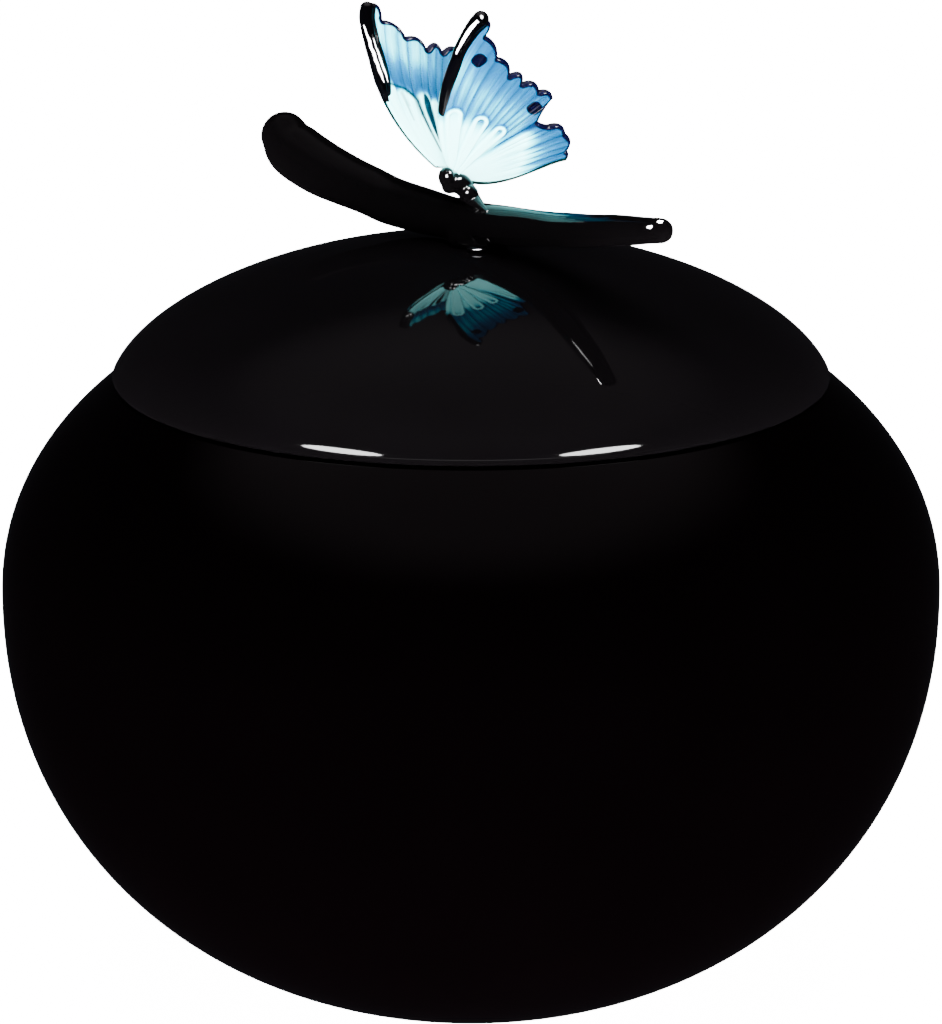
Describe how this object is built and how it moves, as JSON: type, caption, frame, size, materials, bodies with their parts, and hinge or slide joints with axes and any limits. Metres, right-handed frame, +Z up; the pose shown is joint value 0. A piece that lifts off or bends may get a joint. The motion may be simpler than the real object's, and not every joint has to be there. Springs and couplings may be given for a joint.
{
  "type": "funeral urn",
  "caption": "Round black glass urn with a domed lift-off lid, a bent twig as its handle and a blue glass butterfly resting on the twig.",
  "frame": {"origin": "centre of the foot, on the surface that the urn stands on", "axes": "+Z up through the lid; -Y towards the viewer of the picture, so the twig runs from the back left to the front right and the butterfly looks to the left"},
  "size_m": [0.22, 0.22, 0.2358],
  "materials": {
    "black_glass": "opaque black glass, polished to a mirror gloss",
    "twig_glass": "opaque black glass, fire polished",
    "butterfly_glass": "black glass, glossy, with bright beads",
    "wing_glass": "fluted milky glass, white at the root to sky blue, with a navy edge"
  },
  "bodies": {
    "root": {"urn_body": "black_glass", "lid": "black_glass", "twig_handle": "twig_glass", "butterfly_body": "butterfly_glass", "near_wing": "wing_glass", "far_wing": "wing_glass"}
  },
  "joints": []
}
